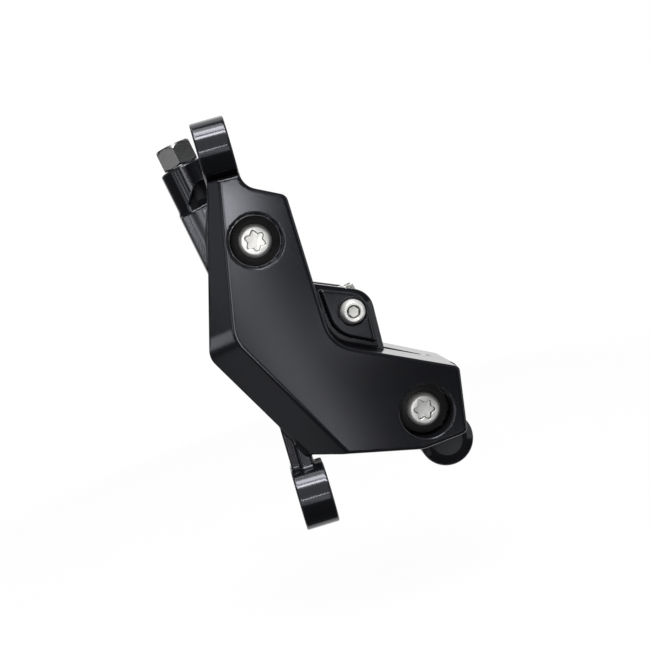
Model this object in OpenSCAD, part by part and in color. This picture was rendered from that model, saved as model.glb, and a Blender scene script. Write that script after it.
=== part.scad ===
// Four-piston post-mount brake caliper for a bicycle's disc brake, in millimetres.
// The origin lies midway between the two mounting slots, on the seat faces of the ears.
// X runs along the mounting bolts, away from the frame's posts.
// Y runs along the disc's axis, from the outboard face to the wheel. Z runs from the lower ear to the upper one.
// Body coordinates have their origin midway between the body bolts, on the disc's middle plane:
// their x points away from the disc's centre, and their z points along the bolt line to the upper bolt.

/* [Mount] */
// Distance between the centres of the two mounting slots
mount_spacing = 74; // [72:0.5:78]
// Width of a mounting slot, for an M6 bolt
slot_w = 6.6; // [6.3:0.1:7]
// Length of a mounting slot, along the disc's axis
slot_l = 10.6; // [9.6:0.2:12]
// Wall round a mounting slot
ear_wall = 2.9; // [2.6:0.1:3.4]
// Extra wall below the lower ear's slot
ear_drop = 0.6; // [0:0.1:1]
// Thickness of an ear along its bolt
ear_t = 7; // [6:0.5:8]
// Thickness of the neck that carries the lower ear
neck_t = 4.8; // [3.6:0.2:5]
// Width of the neck along the disc's axis
neck_w = 8.6; // [7:0.2:9.4]
// Width of the rib along the neck's outboard face
rib_w = 2.8; // [2:0.2:3.2]
// Height of that rib
rib_h = 2; // [1:0.2:2.4]

/* [Disc] */
// Distance from the slot centres to the disc's middle plane
disc_offset = 15.5; // [14.5:0.5:17]
// Diameter of the disc
disc_d = 160; // [140:10:203]
// Width of the slot that the disc runs in, in the body's ends
disc_slot_w = 5; // [4.4:0.2:5.4]
// Distance from the disc's rim to the end of its slot
disc_rim_gap = 1.5; // [1:0.25:2.5]

/* [Body] */
// Angle between the bolt line and the line of the mounting slots
body_tilt = 29; // [27:0.5:31]
// Distance from the seat faces to the middle of the bolt line
body_x = 18.35; // [17.5:0.05:19.5]
// Distance from the middle of the mount down to the middle of the bolt line
body_drop = 4.7; // [4:0.1:5.5]
// Depth of each half, from the disc's middle plane to its outer face
half_depth = 21.5; // [20.5:0.25:23]
// Distance from the bolt line back to the back edge
back_reach = 23.7; // [23:0.1:25]
// Width of the bevel along the back edge
back_bevel_w = 6.4; // [4:0.2:7]
// Depth of the bevels
bevel_depth = 2.6; // [1.6:0.2:4]
// Distance from the bolt line to the outer corners
corner_reach = 11; // [10.5:0.1:12]
// Distance from the bolt line back to the middle of the waist
waist_in = 3.9; // [3:0.1:5]

/* [Body bolts] */
// Distance between the body bolts
bolt_spacing = 49.6; // [48.4:0.2:52]
// Diameter of a body bolt's thread
bolt_d = 6; // [5:0.5:6]
// Diameter of the bolt head's flange
bolt_flange_d = 9.8; // [9:0.2:10.4]
// Diameter of the bolt head's flat end
bolt_flat_d = 6.1; // [5.6:0.1:6.8]
// Height of the bolt head
bolt_head_h = 4; // [3.6:0.2:4.6]
// How far the flat end lies below the outer face
bolt_head_sunk = 2.8; // [2:0.2:3.2]
// Length of the bolt under its head
bolt_l = 26; // [24:0.5:28]
// Width across the points of the six-lobe recess
lobe_d = 4.5; // [3.9:0.1:4.7]
// Clearance round the bolt head
bolt_head_gap = 0.7; // [0.5:0.1:1.2]

/* [Pistons] */
// Diameter of the leading, upper pistons
lead_piston_d = 15; // [13:0.5:15.5]
// Diameter of the trailing, lower pistons
trail_piston_d = 16; // [14:0.5:16]
// Distance between the leading and the trailing piston
piston_spacing = 21; // [19:0.5:22]
// Distance from the bolt line in to the piston line
piston_in = 11.2; // [10.8:0.1:11.6]
// Length of a piston
piston_l = 10; // [9:0.25:10.5]
// Radial clearance between a piston and its bore
piston_gap = 0.04; // [0.02:0.01:0.08]
// Wall of a piston
piston_wall = 2.6; // [2:0.1:3.2]
// Depth of a piston's cup
piston_cup = 6.5; // [4:0.5:7.5]
// Free space behind a piston at rest
fluid_gap = 0.9; // [0.6:0.1:1.2]
// Radial width of a piston seal
seal_w = 1.6; // [1.2:0.1:1.8]
// Length of a piston seal along the piston
seal_l = 1.9; // [1.6:0.1:2.2]
// Distance from a bore's mouth to its seal
seal_in = 1.2; // [1:0.1:1.6]
// Diameter of the drilled fluid passages
passage_d = 2; // [1.6:0.1:2.2]

/* [Pads] */
// Gap between the two linings at rest
lining_gap = 3; // [2.6:0.1:3.4]
// Thickness of a lining
lining_t = 2; // [1.5:0.1:2.2]
// Thickness of a backing plate
backing_t = 1.8; // [1.6:0.1:2]
// Length of a backing plate along the disc
pad_l = 39.8; // [38:0.2:40]
// Width of a lining, across the disc
lining_w = 14.8; // [13:0.2:15]
// Distance from the disc's rim in to the lining
lining_rim = 0.5; // [0.3:0.1:1]
// Clearance between a backing plate and the body at each end
pad_end_gap = 0.3; // [0.2:0.1:0.6]
// Clearance between a backing plate and the body behind it
pad_back_gap = 0.4; // [0.3:0.1:0.6]
// How far a backing plate stands out round its lining
backing_margin = 0.8; // [0.6:0.1:1]
// Distance from the bolt line out to the end of a pad's tab
tab_reach = 7.6; // [7.4:0.1:8.2]
// Thickness of the pad spring's sheet
spring_t = 0.4; // [0.3:0.05:0.5]

/* [Pad pin] */
// Distance from the bolt line out to the pad pin
pin_out = 4.1; // [3.8:0.1:4.4]
// Distance from the middle of the bolt line down to the pad pin
pin_drop = 0.3; // [0:0.1:0.8]
// Diameter of the pin's shank
pin_d = 3.6; // [3:0.1:3.8]
// Diameter of the pin's thread
pin_thread_d = 4.1; // [4:0.1:4.3]
// Diameter of the pin's head
pin_head_d = 5.4; // [5:0.1:5.6]
// Height of the pin's head
pin_head_h = 3.4; // [3:0.1:3.6]
// Width across the flats of the pin's socket
pin_socket = 2.5; // [2:0.5:2.5]
// Thickness of the pin's clip
clip_t = 0.7; // [0.5:0.1:0.8]
// Outer diameter of the pin's clip
clip_d = 6.6; // [5.8:0.2:7]
// Depth of each pad pin boss, beside the pads
pin_boss_l = 6.8; // [6.4:0.2:7.4]

/* [Hose inlet] */
// Outer diameter of the hose that the inlet takes
hose_d = 5; // [4.8:0.1:5.5]
// Clearance between the hose and the nut's bore, on the diameter
hose_gap = 0.2; // [0.1:0.05:0.3]
// Outer diameter of the inlet boss
inlet_boss_d = 10.6; // [10.4:0.1:11.2]
// Tilt of the inlet from the line of the mounting slots
inlet_tilt = 10; // [9:0.25:10.5]
// Width across the flats of the hose nut
nut_af = 8; // [8:0.5:8.5]
// Height of the hose nut's hexagon
nut_h = 5.2; // [4:0.2:6]
// Length of the hose nut's thread
nut_thread_l = 5; // [4:0.25:6]
// Diameter of the hose nut's thread
nut_thread_d = 7.2; // [7.1:0.1:7.6]
// Length of the olive
olive_l = 3.2; // [2.6:0.2:4]
// How far the hose goes in beyond the olive
hose_in = 4; // [3:0.5:5]

/* [Bleed port] */
// Outer diameter of the bleed port's boss
bleed_boss_d = 12.3; // [11:0.1:12.6]
// Distance from the outer face of the inboard half in to the end of the boss
bleed_in = 4; // [3.5:0.25:4.5]
// Width of the bevel round the front of the boss
bleed_bevel_w = 2; // [1:0.1:2.4]
// Diameter of the bleed valve's head
bleed_head_d = 6.6; // [6:0.1:7]
// Diameter of the bleed valve's thread
bleed_thread_d = 5; // [4.5:0.1:5.2]
// Width across the flats of the bleed valve's socket
bleed_socket = 3; // [2.5:0.5:3]
// Thickness of the port cap's cover
cap_t = 1.5; // [1.2:0.1:1.8]

/* [Hidden] */
$fn = 64;

// Clearance left between faces that touch, and the depth that a cut runs past a face
touch = 0.02;
past = 1;
corner_steps = 6;

// A length longer than the body, for blocks that cut right across it
half_span = 100;

// Mount
ear_z = mount_spacing / 2;
ear_r = slot_w / 2 + ear_wall;
ear_l = slot_l + 2 * ear_wall;

// Disc and its slot, in body coordinates
disc_over = 3.5;
disc_x = -(disc_d / 2 + disc_over);
disc_slot_r = disc_d / 2 + disc_rim_gap;

// Stations along the disc's axis, from its middle plane out to one side
lining_y = lining_gap / 2;
backing_y = lining_y + lining_t;
backing_back_y = backing_y + backing_t;
pocket_y = backing_back_y + pad_back_gap;
piston_back_y = backing_back_y + piston_l;
bore_floor_y = piston_back_y + fluid_gap;
seal_y = pocket_y + seal_in;
passage_y = piston_back_y - 4;
piston_turned_y = passage_y - passage_d / 2 - 0.3;
pocket_half_l = pad_l / 2 + pad_end_gap;

// Body bolts
bolt_z = bolt_spacing / 2;
bolt_seat_y = half_depth - bolt_head_sunk - bolt_head_h;
bolt_hole_r = bolt_d / 2 + 0.2;
bolt_counterbore_r = bolt_flange_d / 2 + bolt_head_gap;

// Pistons
lead_z = piston_spacing / 2;
trail_z = -piston_spacing / 2;

// Pads, in body coordinates
lining_out_x = -disc_over - lining_rim;
lining_in_x = lining_out_x - lining_w;
tab_half_w = 5.5;
shoulder_half_w = 14;
pin_hole_gap = 0.3;

// Pad pin
pin_z = -pin_drop;
pin_r = pin_d / 2;
boss_end_y = pocket_y + pin_boss_l;
boss_step_y = boss_end_y - 1.5;
pin_seat_y = boss_end_y - 1;
pin_groove_y = boss_end_y + 0.1;
pin_end_y = pin_groove_y + clip_t + 1.3;

// Hose inlet: the centre of the boss's end, in row coordinates along X and Z
inlet_x = -4.3;
inlet_z = ear_z + 0.4;
inlet_y = passage_y;
inlet_seat = nut_thread_l + olive_l + 0.3;
inlet_boss_l = 30;

// Crossover passage and bleed port, in body coordinates
crossover_x = 0.2;
crossover_z = bolt_z + 7.4;
crossover_r = 0.9;
crossover_seal_r = 2.1;
crossover_seal_h = 0.8;
plug_r = 1.5;
plug_l = 3;
plug_run_out = 6;
bleed_x = -0.9;
bleed_z = -(bolt_z + 12.7);
bleed_end_y = half_depth - bleed_in;
bleed_front_y = 0.5;
bleed_bevel_h = bleed_bevel_w / 2;
bleed_head_y = bleed_end_y - 2.5;
bleed_seal_h = 0.6;
bleed_thread_end_y = passage_y + passage_d / 2 + 0.3;

// A point given in row coordinates, along X and Z, in body coordinates
function to_body(x, z) = [
    (x - body_x) * cos(body_tilt) + (z + body_drop) * sin(body_tilt),
    -(x - body_x) * sin(body_tilt) + (z + body_drop) * cos(body_tilt)];

// A corner of an outline at p1, rounded with radius r
function unit(v) = v / norm(v);
function corner(p0, p1, p2, r) =
    r <= 0 ? [p1] :
    let (
        u = unit(p0 - p1),
        w = unit(p2 - p1),
        half = acos(u * w) / 2,
        c = p1 + unit(u + w) * r / sin(half),
        s = p1 + u * r / tan(half) - c,
        e = p1 + w * r / tan(half) - c,
        a0 = atan2(s.y, s.x),
        turn = atan2(s.x * e.y - s.y * e.x, s * e)
    )
    [for (i = [0 : corner_steps]) let (a = a0 + turn * i / corner_steps) c + r * [cos(a), sin(a)]];

// An outline from corners [x, z, radius]
function outline(p) = let (n = len(p), q = [for (c = p) [c.x, c.y]])
    [for (i = [0 : n - 1]) each corner(q[(i + n - 1) % n], q[i], q[(i + 1) % n], p[i][2])];

// Body outlines, in body coordinates, as corners with their radii
ear_left = to_body(0.2, ear_z - ear_r);
ear_right = to_body(ear_t, ear_z - ear_r - 0.1);
waist_corner = [-waist_in, -1.2, 7];
upper_corner = [corner_reach, bolt_z + 2.1, 1.8];
ear_fillet = [corner_reach - 5, bolt_z + 9.6, 4];
lower_corner = [corner_reach + 0.4, -(bolt_z - 1.7), 1.2];
foot_corner = [corner_reach - 8, -(bolt_z + 9.3), 1.5];
heel_corner = [-6, -(bolt_z + 5.2), 6];
back_low_corner = [-back_reach, -14, 1.5];
back_high_corner = [-back_reach, 14.5, 4];
back_crease_x = back_bevel_w - back_reach;

outboard_points = outline([waist_corner, upper_corner, ear_fillet,
    [ear_right.x, ear_right.y, 0], [ear_left.x, ear_left.y, 0],
    back_high_corner, back_low_corner, heel_corner, foot_corner, lower_corner]);

inboard_top = [-0.5, bolt_z + 12.9, 1];
inboard_heel = [-8, -(bolt_z + 5), 4];
inboard_foot = [5, -(bolt_z + 11), 3];
inboard_points = outline([waist_corner, upper_corner, [ear_fillet.x, ear_fillet.y, 1.5], inboard_top,
    back_high_corner, back_low_corner, inboard_heel, inboard_foot, [corner_reach + 2, -(bolt_z + 2.2), 2.5]]);

// Lower edges of the two bevels, as points on their creases
back_crease = [[back_crease_x, -10], [back_crease_x, 10]];
upper_crease = [[back_crease_x + 0.8, 14.6], [2.8, 37.6]];

// Pad pin boss: its base and the raised island round the pin
boss_points = outline([[-waist_in - 1, 10, 0], [2, 10, 0], [pin_out + 5.7, -0.1, 4.8], [3.4, -10.9, 0],
    [-waist_in - 1, -10.9, 0]]);
island_points = outline([[2.4, 7.9, 0.4], [pin_out + 4.3, 0.5, 4], [3.1, -8.4, 0.4], [-1.8, -1.1, 6]]);

// Pad outlines
pad_corner = 4;
function pad_points(x0, x1, half_l) = [[x0, half_l - pad_corner - 0.5], [x0 + pad_corner, half_l], [x1, half_l],
    [x1, -half_l], [x0 + pad_corner, -half_l], [x0, -half_l + pad_corner + 0.5]];
tab_points = outline([[lining_out_x, shoulder_half_w, 0], [lining_out_x + 4, tab_half_w + 3, 2],
    [tab_reach - 3, tab_half_w - 0.5, 1], [tab_reach, 1.2, 1], [tab_reach, -3.4, 1],
    [tab_reach - 4, -tab_half_w - 2, 1], [lining_out_x + 3.6, -tab_half_w - 3, 2], [lining_out_x, -shoulder_half_w, 0]]);

// Moves body coordinates to row coordinates
module in_body() {
    translate([body_x, disc_offset, -body_drop])
        rotate([0, -body_tilt, 0])
            children();
}

// An outline in the XZ plane, made solid between two stations along Y
module slab(y0, y1) {
    translate([0, max(y0, y1), 0])
        rotate([90, 0, 0])
            linear_extrude(height = abs(y1 - y0))
                children();
}

// A cylinder along Y between two stations
module rod_y(r, y0, y1) {
    translate([0, max(y0, y1), 0])
        rotate([90, 0, 0])
            cylinder(r = r, h = abs(y1 - y0));
}

// A ring along Y between two stations
module ring_y(r, hole_r, y0, y1) {
    difference() {
        rod_y(r, y0, y1);
        rod_y(hole_r, min(y0, y1) - past, max(y0, y1) + past);
    }
}

// A turned part: a profile of [radius, height] points, turned round Y. The heights run along -Y.
module turned(profile) {
    rotate([90, 0, 0])
        rotate_extrude()
            polygon(profile);
}

// A regular hexagon's width is given across its flats
module hexagon(af) {
    circle(d = af / cos(30), $fn = 6);
}

// The block that cuts a bevel along a crease, on the side of the disc that side gives
module bevel_block(crease, side) {
    run = crease[1] - crease[0];
    translate([crease[0].x, side * half_depth, crease[0].y])
        rotate([0, -atan2(run.y, run.x), 0])
            rotate([side * atan2(bevel_depth, back_bevel_w), 0, 0])
                translate([-half_span, side > 0 ? 0 : -half_depth, -past])
                    cube([2 * half_span, half_depth, half_span]);
}

// A drilled passage between two points of the body at one station along Y
module passage(p0, p1, y, r) {
    run = p1 - p0;
    translate([p0.x, y, p0.y])
        rotate([0, atan2(run.x, run.y), 0])
            cylinder(r = r, h = norm(run));
}

// The slot that the disc runs in, and the pocket for the pads
module disc_and_pads_space() {
    translate([disc_x, 0, 0])
        rod_y(disc_slot_r, -disc_slot_w / 2, disc_slot_w / 2);
    translate([-half_span, -pocket_y, -pocket_half_l])
        cube([2 * half_span, 2 * pocket_y, 2 * pocket_half_l]);
}

// One piston's bore with its seal groove, on the side of the disc that side gives: -1 outboard, 1 inboard
module piston_bore(z, d, side) {
    translate([-piston_in, 0, z]) {
        rod_y(d / 2 + piston_gap, side * (pocket_y - past), side * bore_floor_y);
        rod_y(d / 2 + seal_w, side * seal_y, side * (seal_y + seal_l));
    }
}

module piston_bores(side) {
    piston_bore(lead_z, lead_piston_d, side);
    piston_bore(trail_z, trail_piston_d, side);
}

// The passage that links the two bores of a half, from the leading bore to its plugged end below the trailing one
link_end_z = trail_z - trail_piston_d / 2 - plug_l - 2.4;
module link_passage(side) {
    mouth_z = link_end_z - plug_run_out;
    passage([-piston_in, lead_z], [-piston_in, mouth_z], side * passage_y, passage_d / 2);
    passage([-piston_in, link_end_z + plug_l], [-piston_in, mouth_z], side * passage_y, plug_r + touch);
}

module ear(z, drop = 0) {
    centres = (slot_l - slot_w) / 2;
    r = ear_r + drop / 2;
    translate([0, 0, z])
        difference() {
            translate([0, 0, -drop / 2]) {
                translate([0, -centres, -r])
                    cube([ear_t, 2 * centres, 2 * r]);
                for (y = [-centres, centres])
                    translate([0, y, 0])
                        rotate([0, 90, 0])
                            cylinder(r = r, h = ear_t);
            }
            mount_slot();
        }
}

// One mounting slot, centred on the origin and cut through along X
module mount_slot() {
    centres = (slot_l - slot_w) / 2;
    translate([-past, -centres, -slot_w / 2])
        cube([ear_t + 2 * past, 2 * centres, slot_w]);
    for (y = [-centres, centres])
        translate([-past, y, 0])
            rotate([0, 90, 0])
                cylinder(r = slot_w / 2, h = ear_t + 2 * past);
}

// The block behind the upper ear, which ties it to the body
module ear_gusset() {
    translate([0, -2, ear_z - ear_r - 3])
        cube([ear_t, ear_l / 2, ear_r + 1]);
}

// The neck from the body's back edge down to the lower ear
neck_x = 0.4;
rib_y = disc_offset - half_depth + bevel_depth + 0.2;
neck_y = rib_y + rib_h;
neck_run = 14;
neck_root = 4;
module neck() {
    translate([neck_x, neck_y, ear_r - ear_z - neck_root])
        cube([neck_t, neck_w, neck_run + neck_root]);
    translate([neck_x + neck_t - rib_w, rib_y, ear_r - ear_z - neck_root])
        cube([rib_w, rib_h + past, neck_run + neck_root]);
}

module outboard_body() {
    difference() {
        union() {
            in_body() {
                slab(-half_depth, 0)
                    polygon(outboard_points);
                slab(-boss_step_y, -pocket_y)
                    polygon(boss_points);
                slab(-boss_end_y, -pocket_y)
                    polygon(island_points);
            }
            neck();
        }
        in_body() {
            bevel_block(back_crease, -1);
            bevel_block(upper_crease, -1);
            disc_and_pads_space();
            piston_bores(-1);
            link_passage(-1);
        }
    }
}

module outboard_housing() {
    color("#2b2c31")
        difference() {
            union() {
                outboard_body();
                ear(ear_z);
                ear(-ear_z, ear_drop);
                ear_gusset();
            }
            translate([0, 0, ear_z])
                mount_slot();
            in_body() {
                for (z = [-bolt_z, bolt_z])
                    translate([0, 0, z]) {
                        rod_y(bolt_hole_r, -half_depth - past, past);
                        rod_y(bolt_counterbore_r, -half_depth - past, -bolt_seat_y);
                    }
                translate([crossover_x, 0, crossover_z]) {
                    rod_y(crossover_r, past, -passage_y);
                    rod_y(crossover_seal_r + touch, past, -crossover_seal_h);
                }
                passage([crossover_x, crossover_z], [-piston_in, lead_z], -passage_y, passage_d / 2);
                translate([pin_out, 0, pin_z]) {
                    rod_y(pin_thread_d / 2 + touch, -half_depth, -pocket_y + past);
                    rod_y(pin_head_d / 2 + 0.25, -half_depth, -pin_seat_y);
                }
            }
        }
}

// Places its children on the hose inlet's axis, with z out of the boss and its origin on the boss's end
module at_inlet() {
    translate([inlet_x, disc_offset + inlet_y, inlet_z])
        rotate([0, -inlet_tilt, 0])
            children();
}

// A point on the hose inlet's axis, at the depth t below the boss's end, in body coordinates
function inlet_point(t) = to_body(inlet_x + t * sin(inlet_tilt), inlet_z - t * cos(inlet_tilt));

module inboard_body() {
    difference() {
        union() {
            in_body() {
                slab(0, half_depth)
                    polygon(inboard_points);
                slab(pocket_y, boss_step_y)
                    polygon(boss_points);
                slab(pocket_y, boss_end_y)
                    polygon(island_points);
                translate([bleed_x, 0, bleed_z])
                    turned([[0, -bleed_end_y], [bleed_boss_d / 2, -bleed_end_y],
                        [bleed_boss_d / 2, -bleed_front_y - bleed_bevel_h],
                        [bleed_boss_d / 2 - bleed_bevel_w, -bleed_front_y], [0, -bleed_front_y]]);
                slab(bleed_front_y + 2, bleed_head_y)
                    polygon([[inboard_heel.x, inboard_heel.y], [inboard_foot.x, inboard_foot.y],
                        [bleed_x + bleed_head_d / 2 + 1.5, bleed_z], [bleed_x - bleed_head_d / 2 - 1.5, bleed_z]]);
            }
            at_inlet()
                translate([0, 0, -inlet_boss_l])
                    cylinder(d = inlet_boss_d, h = inlet_boss_l);
            inlet_web();
        }
        in_body() {
            bevel_block(back_crease, 1);
            bevel_block(upper_crease, 1);
            disc_and_pads_space();
            piston_bores(1);
            link_passage(1);
        }
    }
}

// A point on the inlet boss's left side, at the depth t below its end, along X and Z
function inlet_side(t) = [inlet_x - inlet_boss_d / 2 * cos(inlet_tilt) + t * sin(inlet_tilt),
    inlet_z - inlet_boss_d / 2 * sin(inlet_tilt) - t * cos(inlet_tilt)];

// The web between the inlet boss and the body
web_in = 1.5;
web_from = 11;
web_to = 24;
web_x = ear_t - 3;
module inlet_web() {
    translate([0, disc_offset + inlet_y + inlet_boss_d / 2 - web_in, 0])
        rotate([90, 0, 0])
            linear_extrude(height = inlet_boss_d - 2 * web_in)
                polygon([[inlet_x + 3, inlet_z - 4.4], [inlet_x + 6, inlet_z - ear_t], [web_x, inlet_z - 13.4],
                    [web_x, inlet_z - 21.4], inlet_side(web_to), inlet_side(web_from)]);
}

cross_angle = body_tilt - inlet_tilt;
cross_dir = [cos(cross_angle), -sin(cross_angle)];
cross_start = [crossover_x, crossover_z] - 5 * cross_dir;
cross_plug = [crossover_x, crossover_z] + (bolt_seat_y - 5) * cross_dir;

module inboard_housing() {
    color("#26272b")
        difference() {
            inboard_body();
            in_body() {
                for (z = [-bolt_z, bolt_z])
                    translate([0, 0, z])
                        rod_y(bolt_d / 2 + touch, -past, bolt_l - bolt_seat_y + 1.5);
                translate([crossover_x, 0, crossover_z])
                    rod_y(crossover_r, -past, passage_y);
                passage(cross_start, cross_plug, passage_y, passage_d / 2);
                passage(cross_plug - plug_l * cross_dir, cross_plug + plug_run_out * cross_dir, passage_y, plug_r + touch);
                passage(inlet_point(inlet_seat), [-piston_in, lead_z], inlet_y, passage_d / 2);
                translate([pin_out, 0, pin_z])
                    rod_y(pin_r + 0.1, pocket_y - past, half_depth);
                translate([bleed_x, 0, bleed_z]) {
                    rod_y(bleed_boss_d / 2 + 0.3, bleed_end_y, half_depth + past);
                    rod_y(bleed_head_d / 2 + 0.1, bleed_head_y - bleed_seal_h, half_depth);
                    rod_y(bleed_thread_d / 2 + touch, passage_y - 1.5, half_depth);
                }
                passage([bleed_x, bleed_z], [-piston_in, trail_z], passage_y, passage_d / 2);
            }
            at_inlet() {
                translate([0, 0, -inlet_seat])
                    cylinder(d = nut_thread_d + 2 * touch, h = inlet_seat + past);
                translate([0, 0, -inlet_seat - hose_in])
                    cylinder(d = hose_d + hose_gap, h = hose_in + past);
            }
        }
}

// A body bolt. The profile's heights run from the seat to the flat end.
module body_bolt(z) {
    color("#c9c8c2")
        in_body()
            translate([0, -bolt_seat_y, z])
                difference() {
                    turned([[0, -bolt_l], [bolt_d / 2 - 0.5, -bolt_l], [bolt_d / 2, 0.5 - bolt_l], [bolt_d / 2, 0],
                        [bolt_flange_d / 2, touch], [bolt_flange_d / 2, 1.2], [bolt_flange_d / 2 - 0.5, 1.8],
                        [bolt_flat_d / 2 + 0.7, bolt_head_h - 1], [bolt_flat_d / 2 + 0.3, bolt_head_h - 0.4],
                        [bolt_flat_d / 2, bolt_head_h], [0, bolt_head_h]]);
                    slab(-bolt_head_h - past, 2.4 - bolt_head_h)
                        polygon(six_lobe(lobe_d / 2));
                }
}

// A six-lobe recess's outline with its tips on radius r
lobe_depth = 0.3;
function six_lobe(r) = [for (a = [0 : 6 : 354]) (r - lobe_depth + lobe_depth * cos(6 * a)) * [cos(a), sin(a)]];

module upper_body_bolt() {
    body_bolt(bolt_z);
}

module lower_body_bolt() {
    body_bolt(-bolt_z);
}

// A piston, with its open end against the pad. Its tail is turned down where the passages meet the bore.
module piston(z, d, side) {
    r = d / 2;
    color("#2a2622")
        in_body()
            translate([-piston_in, side * backing_back_y, z])
                rotate([0, 0, side > 0 ? 180 : 0])
                    turned([[0, piston_cup], [r - piston_wall, piston_cup], [r - piston_wall, 0], [r - 0.4, 0],
                        [r, 0.4], [r, piston_turned_y - backing_back_y], [r - 0.6, piston_turned_y - backing_back_y + 0.6],
                        [r - 0.6, piston_l - 0.4], [r - 1, piston_l], [0, piston_l]]);
}

module outboard_leading_piston() {
    piston(lead_z, lead_piston_d, -1);
}

module outboard_trailing_piston() {
    piston(trail_z, trail_piston_d, -1);
}

module inboard_leading_piston() {
    piston(lead_z, lead_piston_d, 1);
}

module inboard_trailing_piston() {
    piston(trail_z, trail_piston_d, 1);
}

// A piston's square-section seal
module piston_seal(z, d, side) {
    color("#1d1d1e")
        in_body()
            translate([-piston_in, 0, z])
                ring_y(d / 2 + seal_w - touch, d / 2 + touch, side * (seal_y + touch), side * (seal_y + seal_l - touch));
}

module outboard_leading_seal() {
    piston_seal(lead_z, lead_piston_d, -1);
}

module outboard_trailing_seal() {
    piston_seal(trail_z, trail_piston_d, -1);
}

module inboard_leading_seal() {
    piston_seal(lead_z, lead_piston_d, 1);
}

module inboard_trailing_seal() {
    piston_seal(trail_z, trail_piston_d, 1);
}

// A pad's backing plate with its tab and pin hole
module pad_backing(side) {
    color("#7d6a4a")
        in_body()
            difference() {
                union() {
                    slab(side * backing_y, side * backing_back_y)
                        polygon(pad_points(lining_in_x - backing_margin, lining_out_x + backing_margin, pad_l / 2));
                    slab(side * backing_y, side * backing_back_y)
                        polygon(tab_points);
                }
                translate([pin_out, 0, pin_z])
                    rod_y(pin_r + pin_hole_gap, side * (backing_y - past), side * (backing_back_y + past));
            }
}

module pad_lining(side) {
    color("#4a4038")
        in_body()
            slab(side * lining_y, side * backing_y)
                polygon(pad_points(lining_in_x, lining_out_x, pad_l / 2 - backing_margin));
}

module outboard_pad_backing() {
    pad_backing(-1);
}

module outboard_pad_lining() {
    pad_lining(-1);
}

module inboard_pad_backing() {
    pad_backing(1);
}

module inboard_pad_lining() {
    pad_lining(1);
}

// The pad spring: a leaf along each backing plate, and a bridge that joins them past the pin
spring_y = backing_y - 0.05;
spring_top = tab_reach + 0.6;
foot_x = lining_out_x + 0.6;
foot_half_w = tab_half_w * 2;
shoulder_x = lining_out_x + 4.2;
shoulder_half = tab_half_w + 0.7;
peak_h = 0.4;
peak_z = 3.1;
peak_in_z = peak_z / 2;
bridge_w = 3;
leaf_points = outline([[foot_x, foot_half_w, 1], [shoulder_x, shoulder_half, 1],
    [spring_top - bridge_w, tab_half_w - 0.7, 0.5], [spring_top - 1, peak_z + 0.5, 0.3],
    [spring_top + peak_h, peak_z, 0.3], [spring_top, peak_in_z, 0.3], [spring_top, -bridge_w, 0.8],
    [shoulder_x, -shoulder_half, 1], [foot_x, -foot_half_w, 1]]);
module pad_spring() {
    color("#b9b7b0")
        in_body()
            difference() {
                union() {
                    for (side = [-1, 1])
                        slab(side * (spring_y - spring_t), side * spring_y)
                            polygon(leaf_points);
                    translate([spring_top - spring_t, -spring_y, -bridge_w / 2])
                        cube([spring_t, 2 * spring_y, bridge_w]);
                }
                translate([pin_out, 0, pin_z])
                    rod_y(pin_r + pin_hole_gap, -backing_y, backing_y);
            }
}

// The pad pin, with a socket head outboard and a clip's groove at its inboard end
module pad_pin() {
    r = pin_head_d / 2;
    shank_start = pin_seat_y - pocket_y;
    color("#c4c2bb")
        in_body()
            translate([pin_out, -pin_seat_y, pin_z])
                difference() {
                    turned([[0, -pin_seat_y - pin_end_y], [pin_r - 0.5, -pin_seat_y - pin_end_y],
                        [pin_r, 0.5 - pin_seat_y - pin_end_y],
                        [pin_r, -pin_seat_y - pin_groove_y - clip_t - 2 * touch],
                        [pin_r - 0.5, -pin_seat_y - pin_groove_y - clip_t - 2 * touch],
                        [pin_r - 0.5, -pin_seat_y - pin_groove_y], [pin_r, -pin_seat_y - pin_groove_y],
                        [pin_r, -shank_start], [pin_thread_d / 2, -shank_start], [pin_thread_d / 2, 0],
                        [r, touch], [r, pin_head_h - 1.4], [r - 0.25, pin_head_h - 0.6], [r - 0.6, pin_head_h],
                        [0, pin_head_h]]);
                    slab(-pin_head_h - past, 2 - pin_head_h)
                        hexagon(pin_socket);
                }
}

// The pad pin's clip, open on one side
module pad_pin_clip() {
    color("#9a9a98")
        in_body()
            translate([pin_out, 0, pin_z])
                difference() {
                    ring_y(clip_d / 2, pin_r - 0.5 + touch, pin_groove_y + touch, pin_groove_y + clip_t);
                    translate([-1.1, 0, -clip_d])
                        cube([2.2, half_depth, clip_d]);
                }
}

// The seal where the crossover passage goes from one half to the other
module crossover_seal() {
    color("#1d1d1e")
        in_body()
            translate([crossover_x, 0, crossover_z])
                ring_y(crossover_seal_r, crossover_r + 0.1, -crossover_seal_h + touch, -touch);
}

// The plugs in the open ends of the drilled passages
module gallery_plugs() {
    color("#55565a")
        in_body() {
            for (side = [-1, 1])
                passage([-piston_in, link_end_z + plug_l - touch], [-piston_in, link_end_z], side * passage_y, plug_r);
            passage(cross_plug - (plug_l - touch) * cross_dir, cross_plug, passage_y, plug_r);
        }
}

// The nut that holds the hose: its hexagon, its thread and its bore
module hose_nut() {
    chamfer = 0.6;
    corner_r = nut_af / 2 / cos(30);
    color("#77777a")
        at_inlet()
            difference() {
                union() {
                    intersection() {
                        translate([0, 0, touch])
                            linear_extrude(height = nut_h - touch)
                                rotate([0, 0, 30])
                                    hexagon(nut_af);
                        rotate_extrude()
                            polygon([[0, 0], [corner_r, 0], [corner_r, nut_h - chamfer],
                                [corner_r - 2 * chamfer, nut_h], [0, nut_h]]);
                    }
                    translate([0, 0, -nut_thread_l])
                        cylinder(d = nut_thread_d, h = nut_thread_l + 1);
                }
                translate([0, 0, -nut_thread_l - past])
                    cylinder(d = hose_d + hose_gap, h = nut_h + nut_thread_l + 2 * past);
            }
}

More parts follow.
